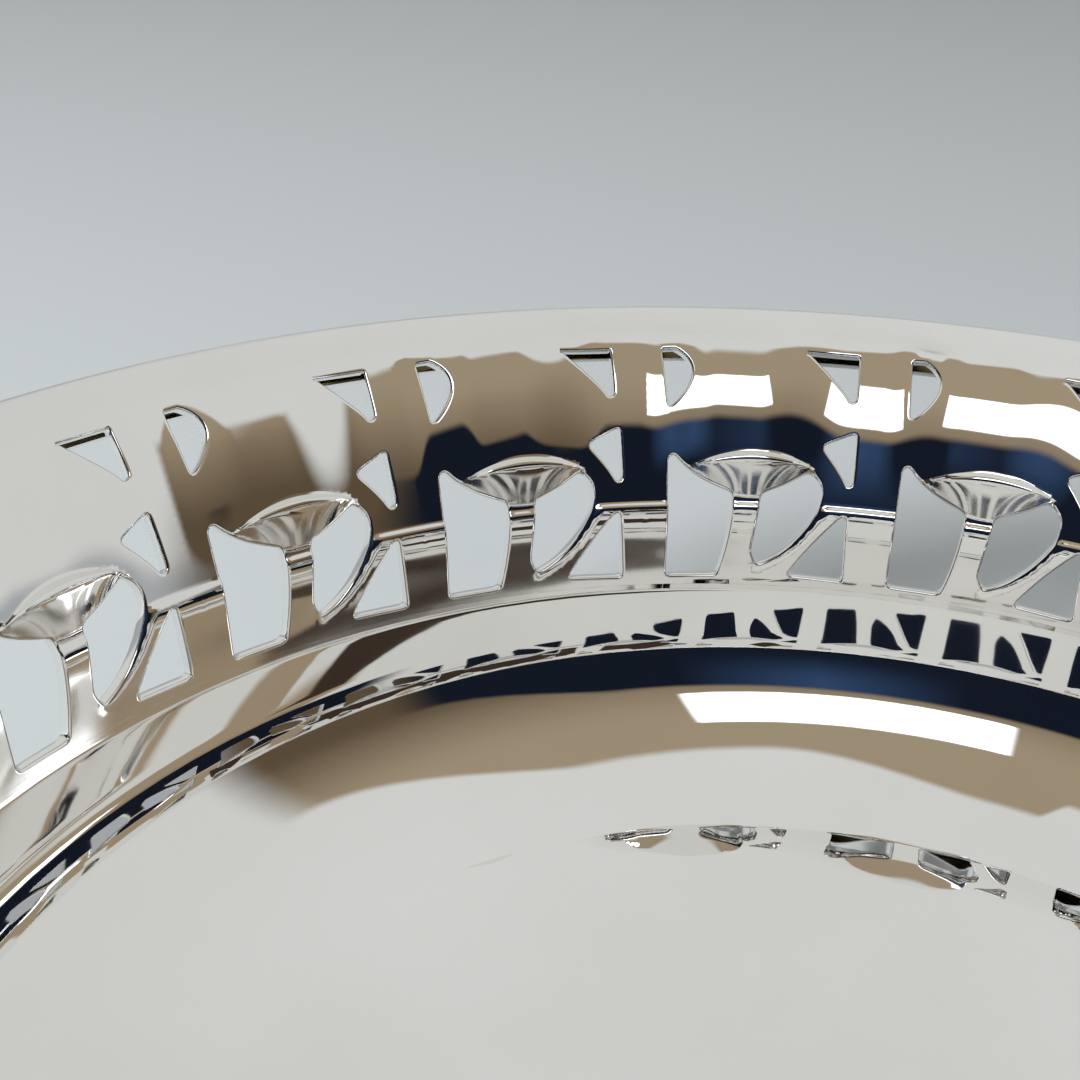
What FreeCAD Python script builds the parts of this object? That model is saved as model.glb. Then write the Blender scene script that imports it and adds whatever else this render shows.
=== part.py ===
import FreeCAD, Part
import math
import os

# Round silver-plated basket: a pressed well, a pierced and flared gallery in four quarter
# lengths, a rim rolled over a core wire, and a foot ring.
# Sizes are in millimetres. The axis of the basket is Z and it stands on z = 0.
# Slopes are in degrees: 0 is an upright wall, 90 is a level face seen from above.

Vector = FreeCAD.Vector
up = Vector(0, 0, 1)
origin = Vector(0, 0, 0)

# Sheet and wire
sheet = 1.4
rim_wire_diameter = 3.0
rim_wire_gap = 0.2

# Polished inner face, from the seam under the openings down to the floor
wall_radius = 77.5
wall_slope = 10.0
sill_drop = 1.5
sill_radius = 8.0
sill_slope = 14.5
lower_wall_radius = 90.0
lower_wall_slope = 17.4
cove_top_radius = 21.0
cove_top_slope = 34.0
cove_radius = 31.0
cove_slope = 53.5
corner_radius = 12.0
floor_edge_slope = 80.3
floor_lift = 5.0

# Inner face, from the openings up to the rolled rim
seam_drop = 1.0
shoulder_rise = 6.6
shoulder_radius = 7.7
shoulder_slope = 20.0
flare_radius = 57.3
flare_slope = 37.5
band_radius = 8.0
band_slope = 65.0
roll_end_slope = 320.0

# Repeating ornament, with as many repeats in each quarter of the gallery
quarter_repeat_count = 5
quarter_count = 4
cutter_reach = 8.0
pod_height = 2.2
pod_root = 0.7

# Foot ring
foot_top_radius = 47.0
foot_spread = 6.0
foot_land = 1.8
foot_wall = 1.4
foot_edge_height = 1.2
foot_waist_share = 0.1
foot_waist_height_share = 0.45

# Round forms are made in flats: so many in one repeat round the basket, and in each bend
repeat_flat_count = 3
sill_flat_count = 1
lower_wall_flat_count = 1
cove_top_flat_count = 1
cove_flat_count = 2
corner_flat_count = 2
floor_flat_count = 3
shoulder_flat_count = 1
flare_flat_count = 2
band_flat_count = 2
roll_flat_count = 8
rim_wire_flat_count = 6
arc_chord_count = 3

# Outlines of the openings in one repeat. Each point is a share of the repeat's width, counted from
# the middle of one post to the middle of the next, and a share of the pattern height. A pair is a
# straight run to that point, and four numbers are an arc through the first point to the second.
# The last point is also where the outline starts.
window_shares = (
    (0.105, 0.0), (0.335, 0.0), (0.372, 0.180, 0.385, 0.395), (0.225, 0.466, 0.125, 0.560),
    (0.100, 0.545))
bow_shares = (
    (0.484, 0.120), (0.512, 0.395), (0.615, 0.440, 0.705, 0.495), (0.765, 0.440, 0.765, 0.345),
    (0.660, 0.165, 0.515, 0.055))
wedge_shares = ((0.905, 0.0), (0.885, 0.310), (0.865, 0.310), (0.760, 0.175, 0.655, 0.010))
dart_shares = ((0.830, 0.520, 0.875, 0.445), (0.900, 0.455), (0.897, 0.675), (0.755, 0.610))
fin_shares = ((0.800, 0.870, 0.855, 0.800), (0.882, 0.800), (0.880, 1.0), (0.655, 1.0))
petal_shares = ((0.118, 0.755), (0.204, 0.890, 0.120, 0.990), (0.088, 0.990), (0.104, 0.755))
# Each opening, with the slope of the sheet that it is pierced through
openings = (
    (window_shares, 10.0), (bow_shares, 10.0), (wedge_shares, 10.0), (dart_shares, 25.0),
    (fin_shares, 35.0), (petal_shares, 35.0))
# Raised pod over the stem: left tip, top, right tip and belly, then the share of its outline that
# is left at each share of its height
pod_shares = ((0.190, 0.500), (0.460, 0.585), (0.735, 0.505), (0.450, 0.405))
pod_crown_shares = ((0.6, 0.82), (1.0, 0.4))
pod_slope = 25.0

# Worked out from the sizes above
roll_radius = rim_wire_diameter / 2 + rim_wire_gap + sheet
quarter_deg = 360.0 / quarter_count
pitch_deg = quarter_deg / quarter_repeat_count
quarter_flat_count = repeat_flat_count * quarter_repeat_count


def cosine(deg):
    return math.cos(math.radians(deg))


def sine(deg):
    return math.sin(math.radians(deg))


def tangent(deg):
    return math.tan(math.radians(deg))


def facing(slope):
    """Direction that the inner face looks in, at this slope, in the X-Z plane."""
    return Vector(-cosine(slope), 0, sine(slope))


class Bend:
    """Bend of the sheet about a circle, made as a few flats.

    side is 1 where the inner face is hollow and -1 where it swells.
    """

    def __init__(self, start, slope, radius, end_slope, flats, side):
        self.radius = radius
        self.slope = slope
        self.end_slope = end_slope
        self.flats = flats
        self.side = side
        self.centre = start + facing(slope) * (radius * side)
        self.end = self.point(end_slope, 0)

    def point(self, slope, depth):
        return self.centre - facing(slope) * ((self.radius + depth * self.side) * self.side)

    def points(self, depth):
        turn = (self.end_slope - self.slope) / self.flats
        return [self.point(self.slope + turn * k, depth) for k in range(self.flats + 1)]


def bends_from(start, slope, arcs, side):
    bends = []
    for radius, end_slope, flats in arcs:
        bend = Bend(start, slope, radius, end_slope, flats, side)
        bends.append(bend)
        start = bend.end
        slope = end_slope
    return bends


def chain(bends, depth):
    """Corners of a run of bends on the inner face (depth 0) or the back (depth of the sheet)."""
    corners = []
    for bend in bends:
        corners += bend.points(depth)[1 if corners else 0:]
    return corners


def skinned(outlines, closed):
    """Solid with flats from each outline to the next, closed to a ring or capped at its ends."""
    faces = []
    for near, far in zip(outlines, outlines[1:] + outlines[:1] if closed else outlines[1:]):
        for k in range(len(near)):
            corners = [near[k - 1], near[k], far[k], far[k - 1]]
            corners = [corner for i, corner in enumerate(corners)
                       if not corner.isEqual(corners[i - 1], sheet / 1000)]
            if len(corners) > 2:
                faces.append(flat(corners))
    if not closed:
        faces += [flat(outlines[0]), flat(outlines[-1])]
    return Part.Solid(Part.Shell(faces))


def flat(corners):
    return Part.Face(Part.makePolygon(corners + corners[:1]))


def turned(outline, flats, step_deg):
    """Solid swept in flats about the basket's axis by a closed outline in the X-Z plane."""
    closed = flats * step_deg >= 360
    outlines = []
    for k in range(flats if closed else flats + 1):
        across, along = cosine(k * step_deg), sine(k * step_deg)
        outlines.append([Vector(p.x * across, p.x * along, p.z) for p in outline])
    return skinned(outlines, closed)


def wall_point(height):
    """Point of the straight wall's inner face at a height from the foot of the openings."""
    return Vector(wall_radius + height * tangent(wall_slope), 0, opening_foot + height)


def well_bends(start):
    arcs = ((sill_radius, sill_slope, sill_flat_count),
            (lower_wall_radius, lower_wall_slope, lower_wall_flat_count),
            (cove_top_radius, cove_top_slope, cove_top_flat_count),
            (cove_radius, cove_slope, cove_flat_count),
            (corner_radius, floor_edge_slope, corner_flat_count))
    lower = bends_from(start, wall_slope, arcs, 1)
    floor_edge = lower[-1].end
    floor_radius = floor_edge.x / cosine(floor_edge_slope)
    return lower + [Bend(floor_edge, floor_edge_slope, floor_radius, 90.0, floor_flat_count, 1)]


def floor_depth():
    """Drop from the foot of the openings to the middle of the floor."""
    start = Vector(wall_radius - sill_drop * tangent(wall_slope), 0, -sill_drop)
    return -well_bends(start)[-1].end.z


opening_foot = floor_lift + sheet + floor_depth()
gallery_bends = bends_from(
    wall_point(shoulder_rise), wall_slope,
    ((shoulder_radius, shoulder_slope, shoulder_flat_count),
     (flare_radius, flare_slope, flare_flat_count), (band_radius, band_slope, band_flat_count),
     (roll_radius, roll_end_slope, roll_flat_count)), -1)
# The pattern reaches from the foot of the openings to the end of the flare
pattern_height = gallery_bends[1].end.z - opening_foot


def make_well():
    bends = well_bends(wall_point(-sill_drop))
    foot = wall_point(-seam_drop)
    foot_back = foot + Vector(sheet / cosine(wall_slope), 0, 0)
    outline = [foot] + chain(bends, 0) + chain(bends, sheet)[::-1] + [foot_back]
    return turned(outline, quarter_count * quarter_flat_count, quarter_deg / quarter_flat_count)


def gallery_ring(foot, bends):
    """Quarter length of the gallery's sheet, from a level edge or from a bend's start."""
    outline = foot + chain(bends, 0) + chain(bends, sheet)[::-1]
    if foot:
        outline.append(foot[0] + Vector(sheet / cosine(wall_slope), 0, 0))
    ring = turned(outline, quarter_flat_count, quarter_deg / quarter_flat_count)
    ring.rotate(origin, up, 90)
    return ring


def face_point(height):
    """Point of the gallery's inner face at a height from the foot of the openings."""
    level = opening_foot + height
    face = [wall_point(0)] + chain(gallery_bends[:3], 0)
    for first, second in zip(face, face[1:]):
        if first.z <= level <= second.z:
            return first + (second - first) * ((level - first.z) / (second.z - first.z))
    return face[0]


def on_cutter_plane(share, height_share, middle_share, slope):
    """Place of an outline's point on the upright plane in front of the wall, seen along the cut."""
    face = face_point(height_share * pattern_height)
    plane = wall_radius - cutter_reach
    across = -face.x * sine((share - middle_share) * pitch_deg)
    return Vector(plane, across, face.z + (face.x - plane) * tangent(slope))


def opening_cutter(shares, slope):
    across = [step[-2] for step in shares]
    middle_share = (min(across) + max(across)) / 2
    corners = [on_cutter_plane(*shares[-1][-2:], middle_share, slope)]
    for step in shares:
        stops = [on_cutter_plane(*step[i:i + 2], middle_share, slope)
                 for i in range(0, len(step), 2)]
        if len(stops) == 2:
            stops = Part.Arc(corners[-1], *stops).toShape().discretize(Number=arc_chord_count + 1)[1:]
        corners += stops
    cutter = flat(corners[1:]).extrude(Vector(cosine(slope), 0, -sine(slope)) * (cutter_reach * 4))
    cutter.rotate(origin, up, -middle_share * pitch_deg)
    return cutter


def make_pod():
    """Boss with a pointed oval outline, rooted in the sheet."""
    left, top, right, belly = pod_shares
    middle_share = (left[0] + right[0]) / 2
    middle_height_share = (top[1] + belly[1]) / 2
    middle = face_point(middle_height_share * pattern_height)
    along = Vector(sine(pod_slope), 0, cosine(pod_slope))

    def ring(lift, size_share):
        tips = []
        for share, height_share in pod_shares:
            across = -middle.x * sine((share - middle_share) * pitch_deg)
            rise = (height_share - middle_height_share) * pattern_height / cosine(pod_slope)
            tip = Vector(0, across, 0) + along * rise
            tips.append(middle + tip * size_share + facing(pod_slope) * lift)
        upper = Part.Arc(tips[0], tips[1], tips[2]).toShape().discretize(Number=arc_chord_count + 1)
        lower = Part.Arc(tips[2], tips[3], tips[0]).toShape().discretize(Number=arc_chord_count + 1)
        return upper[:-1] + lower[:-1]

    rings = [ring(-pod_root, 1.0), ring(0, 1.0)]
    for height_share, size_share in pod_crown_shares:
        rings.append(ring(pod_height * height_share, size_share))
    pod = skinned(rings, False)
    pod.rotate(origin, up, -middle_share * pitch_deg)
    return pod


def make_gallery_length():
    """One quarter of the gallery, from the post on +Y round to the post on -X."""
    pierced = gallery_ring([wall_point(-seam_drop)], gallery_bends[:3])
    cutters = [opening_cutter(shares, slope) for shares, slope in openings]
    pod = make_pod()
    turns = [180 - k * pitch_deg for k in range(quarter_repeat_count)]
    pierced = pierced.cut([cutter.rotated(origin, up, turn) for cutter in cutters for turn in turns])
    pods = [pod.rotated(origin, up, turn) for turn in turns]
    return pierced.fuse(pods + [gallery_ring([], gallery_bends[3:])])


def make_rim_wire():
    centre = gallery_bends[-1].centre
    outline = [centre + facing(360.0 * k / rim_wire_flat_count) * (rim_wire_diameter / 2)
               for k in range(rim_wire_flat_count)]
    return turned(outline, quarter_count * quarter_flat_count, quarter_deg / quarter_flat_count)


def underside(radius):
    """Point of the well's underside at this radius."""
    back = chain(well_bends(wall_point(-sill_drop)), sheet)
    for outer, inner in zip(back, back[1:]):
        if inner.x <= radius <= outer.x:
            return inner + (outer - inner) * ((radius - inner.x) / (outer.x - inner.x))
    return back[0]


def make_foot_ring():
    top = underside(foot_top_radius)
    waist_radius = foot_top_radius + foot_spread * foot_waist_share
    base_radius = foot_top_radius + foot_spread
    waist = top.z * foot_waist_height_share
    outer = [underside(foot_top_radius + foot_wall), Vector(waist_radius + foot_wall, 0, waist),
             Vector(base_radius, 0, foot_edge_height), Vector(base_radius, 0, 0)]
    inner = [Vector(base_radius - foot_land, 0, 0), Vector(waist_radius, 0, waist), top]
    return turned(outer + inner, quarter_count * quarter_flat_count, quarter_deg / quarter_flat_count)


os.makedirs("parts", exist_ok=True)
make_well().exportStep("parts/well.step")
quarter = make_gallery_length()
for index, name in enumerate(("gallery_back", "gallery_right", "gallery_front", "gallery_left")):
    quarter.rotated(origin, up, -index * quarter_deg).exportStep("parts/%s.step" % name)
make_rim_wire().exportStep("parts/rim_wire.step")
make_foot_ring().exportStep("parts/foot_ring.step")
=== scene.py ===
import math
import bpy
import bmesh
import numpy as np
from mathutils import Matrix, Vector
from mathutils.geometry import delaunay_2d_cdt


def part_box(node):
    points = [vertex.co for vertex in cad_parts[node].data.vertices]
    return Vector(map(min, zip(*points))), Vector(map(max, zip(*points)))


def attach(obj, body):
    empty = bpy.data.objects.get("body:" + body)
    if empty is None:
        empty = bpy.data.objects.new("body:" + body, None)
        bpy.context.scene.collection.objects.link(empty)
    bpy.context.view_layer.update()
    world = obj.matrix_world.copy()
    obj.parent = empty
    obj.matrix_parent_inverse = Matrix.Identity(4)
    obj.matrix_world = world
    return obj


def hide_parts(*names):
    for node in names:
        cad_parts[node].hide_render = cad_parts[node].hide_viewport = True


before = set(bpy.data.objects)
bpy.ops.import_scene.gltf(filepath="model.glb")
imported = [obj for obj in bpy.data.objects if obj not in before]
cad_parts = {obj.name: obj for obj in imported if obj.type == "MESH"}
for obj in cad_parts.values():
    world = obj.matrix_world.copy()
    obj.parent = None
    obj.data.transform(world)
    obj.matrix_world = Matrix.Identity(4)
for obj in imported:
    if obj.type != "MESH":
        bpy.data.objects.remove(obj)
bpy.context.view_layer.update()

# Sizes are in millimetres where their comment gives no other unit. Slopes are in degrees, 0 for an
# upright wall. A share s goes across one repeat, a share h goes up the pierced pattern.
MM = 0.001
SHEET = 1.4
SEAM_DROP, SILL_DROP = 1.0, 1.5
OPENING_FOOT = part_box("well")[1][2] / MM + SEAM_DROP
WALL_RADIUS, WALL_SLOPE = 77.5, 10.0
SHOULDER_RISE = 6.6
# Bends of the sheet: radius, slope at the end and the number of steps
HOLLOW_BENDS = ((8.0, 14.5, 6), (90.0, 17.4, 14), (21.0, 34.0, 16), (31.0, 53.5, 18),
                (12.0, 80.3, 20))
FLOOR_SLOPE, FLOOR_STEPS = 90.0, 44
SWELLING_BENDS = ((7.7, 20.0, 12), (57.3, 37.5, 60))
RIM_BENDS = ((8.0, 65.0, 8), (3.04, 320.0, 34))
HOLLOW, SWELLING = 1, -1
# One repeat in degrees, its width along the wall, and the repeats in one length of gallery
PITCH = 18.0
SPAN = WALL_RADIUS * math.radians(PITCH)
LENGTH_REPEATS = 5
# Turned pieces are made of narrow sectors, in degrees
SECTOR, SECTORS = 3.0, 120

# Outlines of the openings in shares s and h. A pair is a straight run to that point, four numbers
# are a bow through the first point to the second.
OPENINGS = {
    "window": ((0.105, 0.0), (0.335, 0.0), (0.372, 0.180, 0.385, 0.395),
               (0.225, 0.466, 0.125, 0.560), (0.100, 0.545)),
    "bow": ((0.484, 0.120), (0.512, 0.395), (0.615, 0.440, 0.705, 0.495),
            (0.765, 0.440, 0.765, 0.345), (0.660, 0.165, 0.515, 0.055)),
    "wedge": ((0.905, 0.0), (0.885, 0.310), (0.865, 0.310), (0.760, 0.175, 0.655, 0.010)),
    "dart": ((0.830, 0.520, 0.875, 0.445), (0.900, 0.455), (0.897, 0.675), (0.755, 0.610)),
    "fin": ((0.800, 0.870, 0.855, 0.800), (0.882, 0.800), (0.880, 1.0), (0.655, 1.0)),
    "petal": ((0.118, 0.755), (0.204, 0.890, 0.120, 0.990), (0.088, 0.990), (0.104, 0.755)),
}
OUTLINE_STEP, OUTLINE_EASINGS = 0.3, 3
# Edges of the openings are rounded in a quarter circle of these angles
EDGE_ROUND = 0.26
EDGE_ANGLES = (22.5, 45.0, 67.5, 90.0)
TOP_MARGIN = 0.25
CRISP_ANGLE = math.radians(38)
DEGENERATE_EDGE = 1e-7

# The pod: its tips, how far it rises and sags between them, the width of the fall behind its crest
# in shares, and its height
POD_LEFT, POD_RIGHT = (0.180, 0.502), (0.745, 0.505)
POD_MIDDLE, POD_HALF = (POD_LEFT[0] + POD_RIGHT[0]) / 2, (POD_RIGHT[0] - POD_LEFT[0]) / 2
POD_RISE, POD_SAG, POD_LEDGE, POD_HEIGHT = 0.088, 0.115, 0.036, 1.65
POD_EASE, DIE_EASE = 0.16, 0.1
# The raised panel between two posts: height, where its sides start in shares s and how wide they
# are, and its share of the height at shares h
PANEL_HEIGHT = 1.0
PANEL_LEFT, PANEL_LEFT_WIDTH = -0.01, 0.30
PANEL_RIGHT, PANEL_RIGHT_WIDTH = 0.85, 0.36
PANEL_SHARE = ((0.42, 0.0), (0.52, 0.70), (0.60, 0.84), (0.84, 1.0), (0.93, 0.98), (1.02, 0.88),
               (1.20, 0.0))
PANEL_SAMPLES, PANEL_BLUR, PANEL_BLURS = 400, 8, 3
# The step across the posts: share h of its top, height, width, and how it fades down the wall
STEP_LEVEL, STEP_HEIGHT, STEP_WIDTH = 0.360, 0.3, 0.6
STEP_FADE_FOOT, STEP_FADE_RISE = -0.043, 0.34
# The bow's upper edge as a bow, samples along it, and how far the step keeps clear of it
BOW_EDGE = ((0.765, 0.345), (0.660, 0.165), (0.515, 0.055))
BOW_SAMPLES, BOW_EASE = 25, 0.7

# Mesh of a repeat: border points, pitch of the inner points on the sheet and on the pod, and gaps
STEPS_ACROSS, STEPS_UP = 36, 40
STEP_ROWS = (0.0, 0.3, 0.6, 1.0)
BORDER_GAP, STEP_GAP = 0.2, 0.15
SHEET_PITCH, POD_PITCH, TRIANGLE_HEIGHT = 0.46, 0.3, 0.866
POD_FOOT, POD_TOP, POD_MARGIN, POD_SEAM = 8.6, 14.4, 0.5, 0.2
GUARD_GAP, RING_GAP, CREASE_GAP = 0.08, 0.16, 0.14
# Rows of points along the pod, in shares of the fall behind its crest
POD_ROWS = (-0.5, -0.2, 0.1, 0.35, 0.6, 0.85)
POD_RUN_POINTS, POD_END_POINTS = 96, 16


def turn_of(slope):
    """Cosine and sine of a slope."""
    angle = math.radians(slope)
    return math.cos(angle), math.sin(angle)


def bend(start, radius, end_slope, steps, side):
    """Points (radius, height, slope) along a bend of the sheet, after its start."""
    slope = start[2]
    level, rise = turn_of(slope)
    centre = (start[0] - level * radius * side, start[1] + rise * radius * side)
    points = []
    for k in range(1, steps + 1):
        at = slope + (end_slope - slope) * k / steps
        level, rise = turn_of(at)
        points.append((centre[0] + level * radius * side, centre[1] - rise * radius * side, at))
    return points


def wall_place(height):
    """Point (radius, height, slope) of the straight wall at a height over the openings' foot."""
    return (WALL_RADIUS + height * math.tan(math.radians(WALL_SLOPE)), OPENING_FOOT + height,
            WALL_SLOPE)


def well_line():
    """Inner face of the well from the seam down to the middle of the floor."""
    line = [wall_place(-SEAM_DROP), wall_place(-SILL_DROP)]
    for shape in HOLLOW_BENDS:
        line += bend(line[-1], *shape, HOLLOW)
    floor_radius = line[-1][0] / turn_of(line[-1][2])[0]
    return line + bend(line[-1], floor_radius, FLOOR_SLOPE, FLOOR_STEPS, HOLLOW)


def ornament_line():
    """Inner face of the pierced part of the gallery, from the seam up to the rim's band."""
    line = [wall_place(-SEAM_DROP), wall_place(SHOULDER_RISE)]
    for shape in SWELLING_BENDS:
        line += bend(line[-1], *shape, SWELLING)
    return line


def rim_line():
    """Inner face of the rim: a plain band, then the roll over the core wire."""
    line = [ornament_line()[-1]]
    for shape in RIM_BENDS:
        line += bend(line[-1], *shape, SWELLING)
    return line


PATTERN_HEIGHT = ornament_line()[-1][1] - OPENING_FOOT
SHARE_SIZE = np.array([SPAN, PATTERN_HEIGHT])


def bow_point(first, via, last, t):
    """Point at share t of a bow from the first point to the last that swings out to via."""
    return first + (last - first) * t + (via - (first + last) / 2) * 4 * t * (1 - t)


def opening_outline(steps):
    """Closed outline of an opening in millimetres, sampled finely, with its corners eased."""
    points = []
    last = np.array(steps[-1][-2:])
    for step in steps:
        end = np.array(step[-2:])
        via = np.array(step[:2]) if len(step) == 4 else (last + end) / 2
        count = max(3, int(np.linalg.norm((end - last) * SHARE_SIZE) / OUTLINE_STEP))
        points += [bow_point(last, via, end, k / count) for k in range(1, count + 1)]
        last = end
    ring = np.array(points) * SHARE_SIZE
    for _ in range(OUTLINE_EASINGS):
        ring = ring * 0.5 + (np.roll(ring, 1, 0) + np.roll(ring, -1, 0)) * 0.25
    return ring


def moved_out(ring, distance):
    """Outline moved square to itself, outwards into the metal."""
    along = np.roll(ring, -1, 0) - np.roll(ring, 1, 0)
    along /= np.linalg.norm(along, axis=1)[:, None]
    x, y = ring[:, 0], ring[:, 1]
    turning = np.sum(x * np.roll(y, -1) - np.roll(x, -1) * y)
    out = np.stack([along[:, 1], -along[:, 0]], 1) * math.copysign(1, turning)
    return ring + out * distance


def inside(points, ring):
    """Which points lie inside a closed outline."""
    x, y = points[:, 0][:, None], points[:, 1][:, None]
    ax, ay = ring[:, 0][None], ring[:, 1][None]
    bx, by = np.roll(ring[:, 0], -1)[None], np.roll(ring[:, 1], -1)[None]
    crossing = ((ay > y) != (by > y)) & (x < (bx - ax) * (y - ay) / (by - ay + 1e-12) + ax)
    return crossing.sum(1) % 2 == 1


def nearest(points, ring):
    """Distance from each point to the nearest point of an outline."""
    return np.min(np.linalg.norm(points[:, None] - ring[None], axis=2), axis=1)


def clear_of(points, rings, gap):
    """Which points lie outside all outlines and farther than the gap from them."""
    free = np.ones(len(points), bool)
    for ring in rings:
        free &= ~inside(points, ring) & (nearest(points, ring) > gap)
    return free


def smooth_step(x):
    """0 below 0, 1 above 1, and a soft climb between them."""
    x = np.clip(x, 0, 1)
    return x * x * (3 - 2 * x)


def greater(a, b, ease):
    """The larger of two values, with a small rounding where they meet; exact where both are 0."""
    return (a + b + np.sqrt((a - b) ** 2 + ease ** 2) - ease) / 2


def pod_limits(s):
    """Pod's fullness across its width, and heights of its belly, crest and top edge at shares s."""
    across = (np.asarray(s, float) - POD_MIDDLE) / POD_HALF
    room = np.clip(1 - across ** 2, 1e-6, None)
    spine = POD_LEFT[1] + (POD_RIGHT[1] - POD_LEFT[1]) * (across + 1) / 2
    top = spine + POD_RISE * room
    return np.clip(1 - across ** 2, 0, None), spine - POD_SAG * room, top - POD_LEDGE * room, top


def panel_share(h):
    """How much of its height the panel between two posts has at shares h."""
    knots = np.array(PANEL_SHARE)
    fine = np.linspace(knots[0, 0] - 0.1, knots[-1, 0] + 0.1, PANEL_SAMPLES)
    share = np.interp(fine, knots[:, 0], knots[:, 1])
    window = 2 * PANEL_BLUR + 1
    for _ in range(PANEL_BLURS):
        padded = np.pad(share, PANEL_BLUR, "edge")
        share = np.convolve(padded, np.ones(window) / window, "valid")
    return np.interp(h, fine, share)


def bow_ease(s, h):
    """0 on the bow's upper edge, 1 away from it, so that the bow has an eased shoulder there."""
    edge = [np.array(p) for p in BOW_EDGE]
    place = np.stack([s, h], -1) * SHARE_SIZE
    far = np.full(s.shape, np.inf)
    for t in np.linspace(0, 1, BOW_SAMPLES):
        far = np.minimum(far, np.linalg.norm(place - bow_point(*edge, t) * SHARE_SIZE, axis=-1))
    return smooth_step(far / BOW_EASE)


def pressed(s, h):
    """How far the die has pressed the sheet inwards, in millimetres, at shares s and h."""
    s, h = np.asarray(s, float), np.asarray(h, float)
    room, belly, crest, top = pod_limits(s)
    rise, fall = (h - belly) / (crest - belly), (top - h) / (top - crest)
    pod = np.clip(-greater(-rise, -fall, POD_EASE), 0, 1) * room ** 0.5
    left = smooth_step((s - PANEL_LEFT) / PANEL_LEFT_WIDTH)
    panel = left * smooth_step((PANEL_RIGHT - s) / PANEL_RIGHT_WIDTH) * panel_share(h)
    step = smooth_step((STEP_LEVEL - h) * PATTERN_HEIGHT / STEP_WIDTH)
    step = step * bow_ease(s, h) * smooth_step((h - STEP_FADE_FOOT) / STEP_FADE_RISE)
    return greater(POD_HEIGHT * pod, STEP_HEIGHT * step + PANEL_HEIGHT * panel, DIE_EASE)


def pod_outline():
    """Runs of points along the pod's belly, its rows behind the crest and its top edge."""
    s = POD_MIDDLE + POD_HALF * np.cos(np.linspace(0, math.pi, POD_RUN_POINTS))
    _, belly, crest, top = pod_limits(s)
    inner = slice(POD_END_POINTS, -POD_END_POINTS)
    mids = [(s[inner], (crest + (top - crest) * share)[inner]) for share in POD_ROWS]
    return [np.stack(run, 1) * SHARE_SIZE for run in [(s, belly)] + mids + [(s, top)]]


def on_sheet(line, along, s, h, depth):
    """Places in metres on the sheet: along is the row of the line, depth goes out from its face."""
    line = np.array(line)
    rows = np.arange(len(line))
    radius = np.interp(along, rows, line[:, 0])
    height = np.interp(along, rows, line[:, 1])
    slope = np.radians(np.interp(along, rows, line[:, 2]))
    out = depth - pressed(s, h)
    radius = radius + np.cos(slope) * out
    height = height - np.sin(slope) * out
    around = -np.radians(PITCH) * np.asarray(s)
    return np.stack([radius * np.cos(around), radius * np.sin(around), height], -1) * MM


class Shell:
    """Points and faces of one mesh in the making."""

    def __init__(self):
        self.points = []
        self.faces = []

    def add(self, places):
        """Adds points and gives back their numbers."""
        start = len(self.points)
        self.points += [tuple(p) for p in places]
        return list(range(start, start + len(places)))

    def strip(self, low, high, closed=False):
        """Joins two rows of points with four-sided faces."""
        pairs = list(zip(range(len(low)), range(1, len(low))))
        if closed:
            pairs.append((len(low) - 1, 0))
        self.faces += [(low[a], low[b], high[b], high[a]) for a, b in pairs]

    def mesh(self, name):
        made = bpy.data.meshes.new(name)
        made.from_pydata(self.points, [], self.faces)
        made.polygons.foreach_set("use_smooth", [True] * len(made.polygons))
        return made


def border_points(across, upward):
    """Border of a flat repeat, counter-clockwise from its lower corner at s = 0."""
    side_steps = len(upward) - 1
    return np.concatenate([
        np.stack([across[:-1], np.full(STEPS_ACROSS, upward[0])], 1),
        np.stack([np.full(side_steps, SPAN), upward[:-1]], 1),
        np.stack([across[:0:-1], np.full(STEPS_ACROSS, upward[-1])], 1),
        np.stack([np.zeros(side_steps), upward[:0:-1]], 1)])


def staggered(left, right, bottom, top, pitch):
    """Points in staggered rows inside a rectangle."""
    grid = []
    rows = int((top - bottom) / (pitch * TRIANGLE_HEIGHT))
    for j in range(1, rows):
        shift = pitch / 2 if j % 2 else 0
        y = bottom + (top - bottom) * j / rows
        grid += [(x, y) for x in np.arange(left + pitch / 2 + shift, right - pitch / 3, pitch)]
    return np.array(grid)


def inner_points(low, high, guard_rings, creases, step_rows):
    """Loose points on the flat repeat: dense on the pod, none on edges, creases and the step."""
    coarse = staggered(0, SPAN, low, high, SHEET_PITCH)
    left, right = POD_LEFT[0] * SPAN - POD_MARGIN, POD_RIGHT[0] * SPAN + POD_MARGIN
    fine = staggered(left, right, POD_FOOT, POD_TOP, POD_PITCH)
    in_pod = ((coarse[:, 0] > left - POD_SEAM) & (coarse[:, 0] < right + POD_SEAM)
              & (coarse[:, 1] > POD_FOOT - POD_SEAM) & (coarse[:, 1] < POD_TOP + POD_SEAM))
    grid = np.concatenate([coarse[~in_pod], fine])
    grid = grid[clear_of(grid, guard_rings, RING_GAP)]
    for crease in creases:
        grid = grid[nearest(grid, crease) > CREASE_GAP]
    _, _, crest, top = pod_limits(grid[:, 0] / SPAN)
    fall = (grid[:, 1] / PATTERN_HEIGHT - crest) / (top - crest)
    row = creases[1]
    beside_row = (grid[:, 0] > row[:, 0].min()) & (grid[:, 0] < row[:, 0].max())
    grid = grid[~(beside_row & (fall > POD_ROWS[0]) & (fall < 1.0))]
    return grid[(grid[:, 1] > step_rows[0] + STEP_GAP) | (grid[:, 1] < step_rows[-1] - STEP_GAP)]


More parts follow.
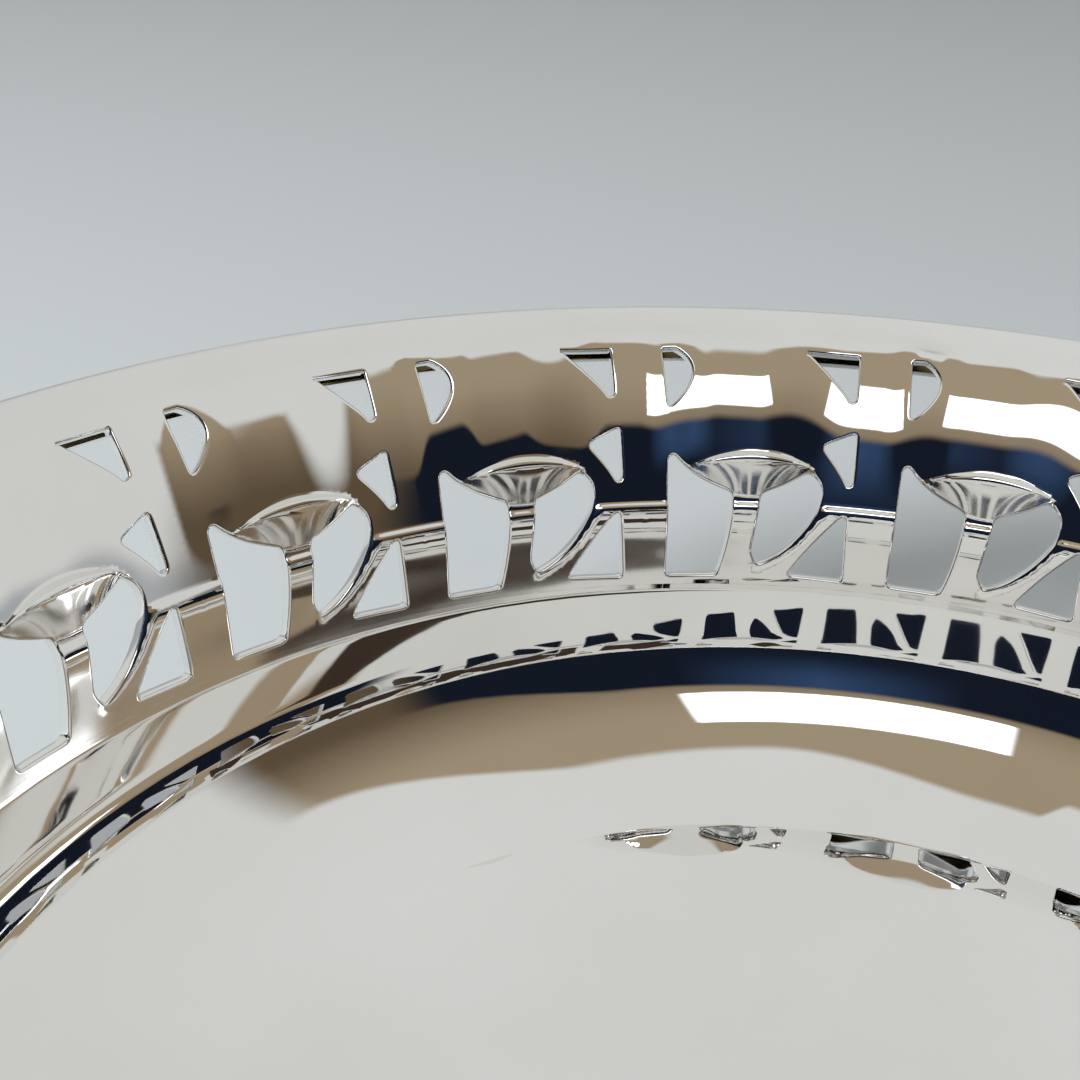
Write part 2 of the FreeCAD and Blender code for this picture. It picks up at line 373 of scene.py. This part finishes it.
def flat_repeat(across, upward, step_rows, rings):
    """Triangles of the flat repeat with its openings cut out.

    Gives the points, the triangles, and the number of the point that each border and opening
    point has become, in the order border first, then one opening after the other.
    """
    face_rings = [moved_out(ring, EDGE_ROUND) for ring in rings]
    guard_rings = [moved_out(ring, EDGE_ROUND + GUARD_GAP) for ring in rings]
    creases = pod_outline()
    grid = inner_points(upward[0], upward[-1], guard_rings, creases, step_rows)
    inner = across[1:-1]
    rows = np.concatenate([np.stack([inner, np.full(len(inner), z)], 1) for z in step_rows])
    rows = rows[clear_of(rows, guard_rings, GUARD_GAP)]

    flat = [border_points(across, upward)] + face_rings + guard_rings
    edges, start = [], 0
    for ring in flat:
        count = len(ring)
        edges += [(start + k, start + (k + 1) % count) for k in range(count)]
        start += count
    for crease in creases:
        free = clear_of(crease, guard_rings, GUARD_GAP)
        number = start + np.cumsum(free) - 1
        edges += [(number[k], number[k + 1]) for k in range(len(crease) - 1)
                  if free[k] and free[k + 1]]
        flat.append(crease[free])
        start += free.sum()
    flat = np.concatenate(flat + [rows, grid])

    result = delaunay_2d_cdt([Vector(p) for p in flat], edges, [], 1, 1e-5)
    points = np.array([tuple(p) for p in result[0]])
    became = {old: new for new, olds in enumerate(result[3]) for old in olds}
    triangles = np.array(result[2])
    middles = points[triangles].mean(1)
    for ring in face_rings:
        outside = ~inside(middles, ring)
        triangles, middles = triangles[outside], middles[outside]
    return points, triangles, became


def ornament_repeat():
    """One repeat of the gallery: pierced sheet with rounded edges, pressed pod and rolled rim."""
    line = ornament_line()
    heights = np.array([p[1] for p in line]) - OPENING_FOOT
    low, high = heights[0], heights[-1]

    def place(flat, depth):
        s, z = flat[:, 0] / SPAN, flat[:, 1]
        along = np.interp(z, heights, np.arange(len(line)))
        return on_sheet(line, along, s, z / PATTERN_HEIGHT, depth)

    rings = [opening_outline(steps) for steps in OPENINGS.values()]
    for ring in rings:
        ring[:, 1] = np.minimum(ring[:, 1], high - EDGE_ROUND - TOP_MARGIN)
    across = np.linspace(0, SPAN, STEPS_ACROSS + 1)
    step_rows = [STEP_LEVEL * PATTERN_HEIGHT - STEP_WIDTH * share for share in STEP_ROWS]
    upward = np.linspace(low, high, STEPS_UP + 1)
    upward = upward[(upward > step_rows[0] + BORDER_GAP) | (upward < step_rows[-1] - BORDER_GAP)]
    upward = np.sort(np.concatenate([upward, step_rows]))
    points, triangles, became = flat_repeat(across, upward, step_rows, rings)

    shell = Shell()
    front = shell.add(place(points, 0))
    back = shell.add(place(points, SHEET))
    shell.faces += [(front[a], front[b], front[c]) for a, b, c in triangles]
    shell.faces += [(back[c], back[b], back[a]) for a, b, c in triangles]

    side_steps = len(upward) - 1
    start = 2 * (STEPS_ACROSS + side_steps)
    quarter = [math.radians(a) for a in EDGE_ANGLES]
    for ring in rings:
        numbers = [became[start + k] for k in range(len(ring))]
        edge_rows = [[front[k] for k in numbers]]
        for a in quarter:
            edge_rows.append(shell.add(place(moved_out(ring, EDGE_ROUND * (1 - math.sin(a))),
                                             EDGE_ROUND * (1 - math.cos(a)))))
        for a in quarter[::-1]:
            edge_rows.append(shell.add(place(moved_out(ring, EDGE_ROUND * (1 - math.sin(a))),
                                             SHEET - EDGE_ROUND * (1 - math.cos(a)))))
        edge_rows.append([back[k] for k in numbers])
        for one, other in zip(edge_rows, edge_rows[1:]):
            shell.strip(other, one, closed=True)
        start += len(ring)

    bottom = [became[k] for k in range(STEPS_ACROSS + 1)]
    shell.strip([back[k] for k in bottom], [front[k] for k in bottom])

    rim = rim_line()
    lengths = np.linalg.norm(np.diff(np.array(rim)[:, :2], axis=0), axis=1)
    rim_shares = 1 + np.concatenate([[0], np.cumsum(lengths)]) / PATTERN_HEIGHT
    upper = [became[STEPS_ACROSS + side_steps + k] for k in range(STEPS_ACROSS, -1, -1)]
    face_row = [front[k] for k in upper]
    back_row = [back[k] for k in upper]
    s = across / SPAN
    for k in range(1, len(rim)):
        h = np.full(len(s), rim_shares[k])
        next_face = shell.add(on_sheet(rim, float(k), s, h, 0))
        next_back = shell.add(on_sheet(rim, float(k), s, h, SHEET))
        shell.strip(face_row, next_face)
        shell.strip(next_back, back_row)
        face_row, back_row = next_face, next_back
    shell.strip(face_row, back_row)
    return shell.mesh("ornament_repeat")


def turned_sector(name, outline, closed):
    """Narrow sector of a turned piece from its outline of (radius, height) points."""
    shell = Shell()
    rows = []
    for k in range(2):
        around = math.radians(-SECTOR * k)
        rows.append(shell.add([(r * math.cos(around) * MM, r * math.sin(around) * MM, z * MM)
                               for r, z in outline]))
    shell.strip(*rows, closed=closed)
    return shell.mesh(name)


def repeat_tree():
    """Node tree that repeats a sector about the axis, welds the copies and gives them a finish."""
    tree = bpy.data.node_groups.new("Repeat round the axis", "GeometryNodeTree")
    face = tree.interface
    face.new_socket("Sector", in_out="INPUT", socket_type="NodeSocketGeometry")
    for name, kind, value in (("Copies", "NodeSocketInt", 5),
                              ("Step angle", "NodeSocketFloat", 0.1),
                              ("First angle", "NodeSocketFloat", 0.0),
                              ("Weld distance", "NodeSocketFloat", 0.00001),
                              ("Finish", "NodeSocketMaterial", None)):
        socket = face.new_socket(name, in_out="INPUT", socket_type=kind)
        if value is not None:
            socket.default_value = value
    face.new_socket("Piece", in_out="OUTPUT", socket_type="NodeSocketGeometry")
    node, link = tree.nodes.new, tree.links.new
    given, made = node("NodeGroupInput"), node("NodeGroupOutput")
    row, index = node("GeometryNodeMeshLine"), node("GeometryNodeInputIndex")
    row.inputs["Offset"].default_value = (0, 0, 0)
    link(given.outputs["Copies"], row.inputs["Count"])
    angle = node("ShaderNodeMath")
    angle.operation = "MULTIPLY_ADD"
    link(index.outputs[0], angle.inputs[0])
    link(given.outputs["Step angle"], angle.inputs[1])
    link(given.outputs["First angle"], angle.inputs[2])
    turn = node("ShaderNodeCombineXYZ")
    link(angle.outputs[0], turn.inputs["Z"])
    spread = node("GeometryNodeInstanceOnPoints")
    link(row.outputs[0], spread.inputs["Points"])
    link(given.outputs["Sector"], spread.inputs["Instance"])
    link(turn.outputs[0], spread.inputs["Rotation"])
    real, weld = node("GeometryNodeRealizeInstances"), node("GeometryNodeMergeByDistance")
    link(spread.outputs[0], real.inputs[0])
    link(real.outputs[0], weld.inputs["Geometry"])
    link(given.outputs["Weld distance"], weld.inputs["Distance"])
    finish = node("GeometryNodeSetMaterial")
    link(weld.outputs[0], finish.inputs["Geometry"])
    link(given.outputs["Finish"], finish.inputs["Material"])
    link(finish.outputs[0], made.inputs[0])
    return tree


def repeated(name, sector, copies, step, first, finish):
    """Plain mesh object made of turned copies of a sector, with its loose ends closed."""
    holder = bpy.data.objects.new(name, sector)
    bpy.context.scene.collection.objects.link(holder)
    modifier = holder.modifiers.new("Repeat", "NODES")
    modifier.node_group = spread_tree
    values = {"Copies": copies, "Step angle": math.radians(step),
              "First angle": math.radians(first), "Finish": finish}
    for item in spread_tree.interface.items_tree:
        if item.in_out == "INPUT" and item.name in values:
            modifier[item.identifier] = values[item.name]
    bpy.context.view_layer.update()
    seen = holder.evaluated_get(bpy.context.evaluated_depsgraph_get())
    mesh = bpy.data.meshes.new_from_object(seen)
    holder.modifiers.remove(modifier)
    holder.data = mesh
    mesh.name = name
    close_ends(mesh)
    return holder


def close_ends(mesh):
    """Fills the open ends, keeps corners crisp, and turns the faces outwards."""
    work = bmesh.new()
    work.from_mesh(mesh)
    bmesh.ops.dissolve_degenerate(work, dist=DEGENERATE_EDGE, edges=work.edges)
    borders = [e for e in work.edges if e.is_boundary]
    if borders:
        bmesh.ops.holes_fill(work, edges=borders, sides=0)
    bmesh.ops.recalc_face_normals(work, faces=work.faces)
    for edge in work.edges:
        edge.smooth = edge.calc_face_angle(0) < CRISP_ANGLE
    for face in work.faces:
        face.smooth = True
    work.to_mesh(mesh)
    work.free()
    mesh.update()


class Graph:
    """Shader nodes of a material or a world."""

    def __init__(self, owner):
        owner.use_nodes = True
        self.nodes, self.links = owner.node_tree.nodes, owner.node_tree.links

    def fill(self, node, inputs):
        """Gives a node's inputs their values: numbers, colours or other nodes' outputs."""
        for key, value in inputs.items():
            if isinstance(value, bpy.types.NodeSocket):
                self.links.new(value, node.inputs[key])
            else:
                node.inputs[key].default_value = value

    def node(self, kind, inputs, **settings):
        """New node with its settings made first and its inputs filled after them."""
        made = self.nodes.new(kind)
        for name, value in settings.items():
            setattr(made, name, value)
        self.fill(made, inputs)
        return made

    def calc(self, operation, *values):
        return self.node("ShaderNodeMath", dict(enumerate(values)), operation=operation).outputs[0]

    def both(self, *shares):
        result = shares[0]
        for share in shares[1:]:
            result = self.calc("MULTIPLY", result, share)
        return result

    def ramp(self, value, start, end, low, high, kind="LINEAR"):
        """Goes from low at the start to high at the end; the end may lie below the start."""
        inputs = {"Value": value, "From Min": start, "From Max": end, "To Min": low,
                  "To Max": high}
        return self.node("ShaderNodeMapRange", inputs, interpolation_type=kind).outputs[0]

    def soft_step(self, value, start, end, low=0.0, high=1.0):
        return self.ramp(value, start, end, low, high, "SMOOTHSTEP")

    def mixed(self, under, colour, share):
        """Goes from one colour to the other with the share; either may be a node's output."""
        ends = [c + (1,) if isinstance(c, tuple) else c for c in (under, colour)]
        inputs = {"A": ends[0], "B": ends[1], "Factor": share}
        return self.node("ShaderNodeMix", inputs, data_type="RGBA").outputs["Result"]


# Silver plate: its darker and lighter tint, then scale, detail and stretch of each noise
SILVER_DARK, SILVER_LIGHT = (0.865, 0.850, 0.830), (0.965, 0.955, 0.940)
TINT_NOISE = (16.0, 6.0, (1, 1, 1))
GLOSS_NOISE = (70.0, 4.0, (1, 1, 1))
HAZE_NOISE, HAZE_CLOUDS = (38.0, 5.0, (1, 1, 0.4)), (0.55, 1.25)
WIPE_NOISE, WIPE_ROUGHNESS = (900.0, 2.0, (1, 0.12, 0.12)), 0.006
BUMP_NOISE, BUMP_STRENGTH, BUMP_DEPTH = (160.0, 2.0, (1, 1, 1)), 0.1, 0.00003
# Most of a noise lies between these values
NOISE_LOW, NOISE_HIGH = 0.3, 0.7
BRASS_DARK, BRASS_LIGHT = (0.62, 0.45, 0.2), (0.75, 0.58, 0.3)
BRASS_GRAIN, BRASS_ROUGHNESS = 300.0, 0.3


def silver(name, gloss, haze_axis, haze_zone, haze):
    """Polished silver plate: bright metal with fine wiping marks, hazy past a height or radius.

    Gloss is the least and most roughness, the haze zone is where the haze starts and where it is
    full, in metres.
    """
    made = bpy.data.materials.new(name)
    graph = Graph(made)
    where = graph.node("ShaderNodeTexCoord", {}).outputs["Object"]

    def noise(scale, detail, stretch):
        place = graph.node("ShaderNodeMapping", {"Vector": where, "Scale": stretch}).outputs[0]
        inputs = {"Vector": place, "Scale": scale, "Detail": detail}
        return graph.node("ShaderNodeTexNoise", inputs).outputs["Fac"]

    def clouds(settings, low, high):
        return graph.ramp(noise(*settings), NOISE_LOW, NOISE_HIGH, low, high)

    if haze_axis == "height":
        zone = graph.node("ShaderNodeSeparateXYZ", {0: where}).outputs["Z"]
    else:
        flat = graph.node("ShaderNodeVectorMath", {0: where, 1: (1, 1, 0)}, operation="MULTIPLY")
        length = graph.node("ShaderNodeVectorMath", {0: flat.outputs[0]}, operation="LENGTH")
        zone = length.outputs["Value"]
    haze_here = graph.soft_step(zone, *haze_zone, 0.0, haze)
    rough = graph.calc("MULTIPLY_ADD", haze_here, clouds(HAZE_NOISE, *HAZE_CLOUDS),
                       clouds(GLOSS_NOISE, *gloss))
    rough = graph.calc("MULTIPLY_ADD", clouds(WIPE_NOISE, 0.0, 1.0), WIPE_ROUGHNESS, rough)
    bump = graph.node("ShaderNodeBump", {"Strength": BUMP_STRENGTH, "Distance": BUMP_DEPTH,
                                         "Height": noise(*BUMP_NOISE)})
    tint = graph.mixed(SILVER_DARK, SILVER_LIGHT, clouds(TINT_NOISE, 0.0, 1.0))
    graph.fill(graph.nodes["Principled BSDF"], {
        "Metallic": 1.0, "Base Color": tint, "Roughness": rough, "Normal": bump.outputs[0]})
    return made


def brass_wire():
    """Drawn brass with a fine grain."""
    made = bpy.data.materials.new("drawn_brass")
    graph = Graph(made)
    where = graph.node("ShaderNodeTexCoord", {}).outputs["Object"]
    grain = graph.node("ShaderNodeTexNoise", {"Vector": where, "Scale": BRASS_GRAIN})
    graph.fill(graph.nodes["Principled BSDF"], {
        "Metallic": 1.0, "Roughness": BRASS_ROUGHNESS,
        "Base Color": graph.mixed(BRASS_DARK, BRASS_LIGHT, grain.outputs["Fac"])})
    return made


gallery_silver = silver("silver_gallery", (0.004, 0.02), "height", (0.0564, 0.0580), 0.30)
well_silver = silver("silver_well", (0.004, 0.02), "radius", (0.058, 0.049), 0.10)
foot_silver = silver("silver_foot", (0.05, 0.14), "height", (0.002, 0.0), 0.12)
spread_tree = repeat_tree()

# Gallery: four quarter lengths, and where each starts in degrees
sector = ornament_repeat()
for name, first in (("gallery_back", 180.0), ("gallery_right", 90.0), ("gallery_front", 0.0),
                    ("gallery_left", 270.0)):
    piece = repeated(name + "_pierced", sector.copy(), LENGTH_REPEATS, -PITCH, first,
                     gallery_silver)
    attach(piece, "root")
    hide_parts(name)

# Well, turned: its faces end on the axis
inner_face = [(r, z) for r, z, slope in well_line()]
outer_face = [(r + turn_of(slope)[0] * SHEET, z - turn_of(slope)[1] * SHEET)
              for r, z, slope in well_line()]
inner_face[-1], outer_face[-1] = (0.0, inner_face[-1][1]), (0.0, outer_face[-1][1])
well_sector = turned_sector("well_sector", inner_face[::-1] + outer_face, False)
well = repeated("well_turned", well_sector, SECTORS, -SECTOR, 0.0, well_silver)
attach(well, "root")
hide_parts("well")

# Foot ring, turned: down its outer side, round its toe and up its inner side
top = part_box("foot_ring")[1][2] / MM
foot_outline = [(48.4, top), (48.3, top - 1.6), (48.5, top - 3.2), (49.0, top - 4.6),
                (50.2, top - 5.8), (52.2, 1.8), (52.75, 1.35), (53.0, 0.9), (53.0, 0.35),
                (52.85, 0.08), (52.6, 0.0), (51.6, 0.0), (51.25, 0.15), (51.0, 0.6),
                (49.9, 1.9), (48.3, 3.1), (47.4, 4.4), (47.1, 5.6), (47.0, top - 0.1)]
foot_sector = turned_sector("foot_sector", foot_outline, True)
foot = repeated("foot_ring_turned", foot_sector, SECTORS, -SECTOR, 0.0, foot_silver)
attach(foot, "root")
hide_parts("foot_ring")

# The core wire is the solid itself, closed in by the rolled rim
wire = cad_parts["rim_wire"]
wire.data.materials.clear()
wire.data.materials.append(brass_wire())

# Table top: half its width in metres, colour and roughness
TABLE_REACH, TABLE_COLOUR, TABLE_ROUGHNESS = 4, (0.43, 0.46, 0.475, 1), 0.7
floor_mesh = bpy.data.meshes.new("table_top")
floor_mesh.from_pydata([(x * TABLE_REACH, y * TABLE_REACH, 0)
                        for x, y in ((-1, -1), (1, -1), (1, 1), (-1, 1))], [], [(0, 1, 2, 3)])
floor = bpy.data.objects.new("table_top", floor_mesh)
bpy.context.scene.collection.objects.link(floor)
pale = bpy.data.materials.new("pale_table")
pale_graph = Graph(pale)
pale_graph.fill(pale_graph.nodes["Principled BSDF"],
                {"Base Color": TABLE_COLOUR, "Roughness": TABLE_ROUGHNESS})
floor_mesh.materials.append(pale)

# Camera at the photograph's place: lens, nearest distance in metres, distance from the axis,
# compass from the x axis, height over the openings' foot, and how it is turned, in degrees
SENSOR_WIDTH, LENS, CLIP_START = 36.0, 48.5, 0.001
CAMERA_REACH, CAMERA_COMPASS, CAMERA_RISE = 68.7, -85.92, 76.5
CAMERA_TURNS = (-25.72, 27.43, -2.82)
camera = bpy.data.objects.new("camera", bpy.data.cameras.new("camera"))
bpy.context.scene.collection.objects.link(camera)
bpy.context.scene.camera = camera
camera.data.sensor_width = SENSOR_WIDTH
camera.data.lens = LENS
camera.data.clip_start = CLIP_START
yaw, pitch, roll = (math.radians(a) for a in CAMERA_TURNS)
forward = Vector((math.sin(yaw) * math.cos(pitch), math.cos(yaw) * math.cos(pitch),
                  -math.sin(pitch)))
right = Vector((math.cos(yaw), -math.sin(yaw), 0))
down = forward.cross(right)
right, down = (right * math.cos(roll) + down * math.sin(roll),
               down * math.cos(roll) - right * math.sin(roll))
turned = Matrix((right, -down, -forward)).transposed().to_4x4()
stand = math.radians(CAMERA_COMPASS)
camera.matrix_world = Matrix.Translation(
    (CAMERA_REACH * MM * math.cos(stand), CAMERA_REACH * MM * math.sin(stand),
     (OPENING_FOOT + CAMERA_RISE) * MM)) @ turned

# Studio: a pale room, with a warm shelf, a dark screen, a card and a strip light in it. Directions
# are in degrees: height over the table, and compass from the x axis towards y. A pair of numbers
# is where a border starts and ends. Four numbers are a top edge: it goes from the third height at
# the first compass to the fourth at the second.
ROOM_COLOURS, ROOM_CLIMB = ((168, 172, 176), (212, 214, 212)), (8, 16)
SHELF_COLOURS, SHELF_CLIMB = ((92, 78, 60), (160, 145, 122)), (18, 46)
SHELF_TOPS = ((10, -20, 38, 56), (-50, -85, 0, 9), (-93, -97, 0, -7))
SHELF_SIDES, SHELF_EDGE = ((14, 6), (-131, -125)), (1.5, -1.5)
SCREEN_COLOURS, SCREEN_CLIMB = ((20, 26, 38), (48, 70, 104)), (12, 30)
SCREEN_TOP, SCREEN_FOOT = (-12, -36, 22, 33), (-4, 0)
SCREEN_SIDES, SCREEN_EDGE = ((-8, -16), (-150, -140)), (1.2, -1.2)
PATCH_COMPASS, PATCH_REACH = -62.0, 18.0
CARD_COLOUR = (60, 50, 42)
CARD_SIDES, CARD_BORDERS = ((-107, -110), (174, 176)), ((49.5, 50.5), (73.5, 72.5))
STRIP_COLOUR = (2.6, 2.8, 3.0)
STRIP_SIDES, STRIP_BORDERS = ((-87, -85), (-42, -44)), ((35.6, 36.4), (46.9, 46.1))
BACKDROP_COLOUR = (182, 186, 187)


def shown(colour):
    """Linear colour that is shown on screen with these 0 to 255 values."""
    return tuple(((v / 255 + 0.055) / 1.055) ** 2.4 for v in colour)


def between(graph, value, borders):
    """1 between two soft borders, 0 outside them."""
    return graph.both(*(graph.soft_step(value, *border) for border in borders))


def studio(graph):
    """World that the silver reflects. The camera sees a plain pale backdrop in its place."""
    graph.nodes.clear()
    sky = graph.node("ShaderNodeTexCoord", {}).outputs["Generated"]
    parts = graph.node("ShaderNodeSeparateXYZ", {0: sky}).outputs
    height = graph.calc("MULTIPLY", graph.calc("ARCSINE", parts["Z"]), 180 / math.pi)
    compass = graph.calc("ARCTAN2", parts["Y"], parts["X"])
    compass = graph.calc("MULTIPLY", compass, 180 / math.pi)

    room = graph.mixed(*map(shown, ROOM_COLOURS), graph.soft_step(height, *ROOM_CLIMB))

    shelf_top = graph.soft_step(compass, *SHELF_TOPS[0])
    for edge in SHELF_TOPS[1:]:
        shelf_top = graph.calc("ADD", shelf_top, graph.soft_step(compass, *edge))
    shelf = graph.mixed(*map(shown, SHELF_COLOURS), graph.soft_step(height, *SHELF_CLIMB))
    below_top = graph.soft_step(graph.calc("SUBTRACT", height, shelf_top), *SHELF_EDGE)
    room = graph.mixed(room, shelf, graph.both(between(graph, compass, SHELF_SIDES), below_top))

    away = graph.calc("ABSOLUTE", graph.calc("SUBTRACT", compass, PATCH_COMPASS))
    patch = graph.calc("SUBTRACT", 1.0, graph.calc("DIVIDE", away, PATCH_REACH))
    patch = graph.both(graph.calc("MAXIMUM", 0.0, patch), graph.soft_step(height, *SCREEN_CLIMB))
    screen = graph.mixed(*map(shown, SCREEN_COLOURS), patch)
    above_top = graph.calc("SUBTRACT", height, graph.soft_step(compass, *SCREEN_TOP))
    room = graph.mixed(room, screen, graph.both(
        between(graph, compass, SCREEN_SIDES), graph.soft_step(above_top, *SCREEN_EDGE),
        graph.soft_step(height, *SCREEN_FOOT)))

    # The card lies across the compass's break at 180 degrees, so its sides are added
    card_side = graph.calc("ADD", *(graph.soft_step(compass, *side) for side in CARD_SIDES))
    card = graph.both(card_side, between(graph, height, CARD_BORDERS))
    room = graph.mixed(room, shown(CARD_COLOUR), card)

    strip = graph.both(between(graph, compass, STRIP_SIDES),
                       between(graph, height, STRIP_BORDERS))
    room = graph.mixed(room, STRIP_COLOUR, strip)

    seen = graph.node("ShaderNodeLightPath", {}).outputs["Is Camera Ray"]
    room = graph.mixed(room, shown(BACKDROP_COLOUR), seen)
    light = graph.node("ShaderNodeBackground", {"Color": room})
    graph.node("ShaderNodeOutputWorld", {"Surface": light.outputs[0]})


world = bpy.data.worlds.new("studio")
bpy.context.scene.world = world
studio(Graph(world))

# Soft key light for the table; the silver doesn't reflect it. Sizes and distance in metres, power
# in watts, angles in degrees.
LAMP_SIZE, LAMP_POWER = (0.35, 0.25), 30.0
LAMP_REACH, LAMP_COMPASS, LAMP_RISE = 1.3, -112, 31
lamp_data = bpy.data.lights.new("soft_key", "AREA")
lamp_data.shape = "RECTANGLE"
lamp_data.size, lamp_data.size_y = LAMP_SIZE
lamp_data.energy = LAMP_POWER
lamp = bpy.data.objects.new("soft_key", lamp_data)
lamp_turn, lamp_rise = math.radians(LAMP_COMPASS), math.radians(LAMP_RISE)
lamp.location = (LAMP_REACH * math.cos(lamp_turn) * math.cos(lamp_rise),
                 LAMP_REACH * math.sin(lamp_turn) * math.cos(lamp_rise),
                 LAMP_REACH * math.sin(lamp_rise))
lamp.rotation_euler = (-lamp.location).to_track_quat("-Z", "Y").to_euler()
lamp.visible_glossy = False
bpy.context.scene.collection.objects.link(lamp)

bpy.context.scene.view_settings.view_transform = "Standard"
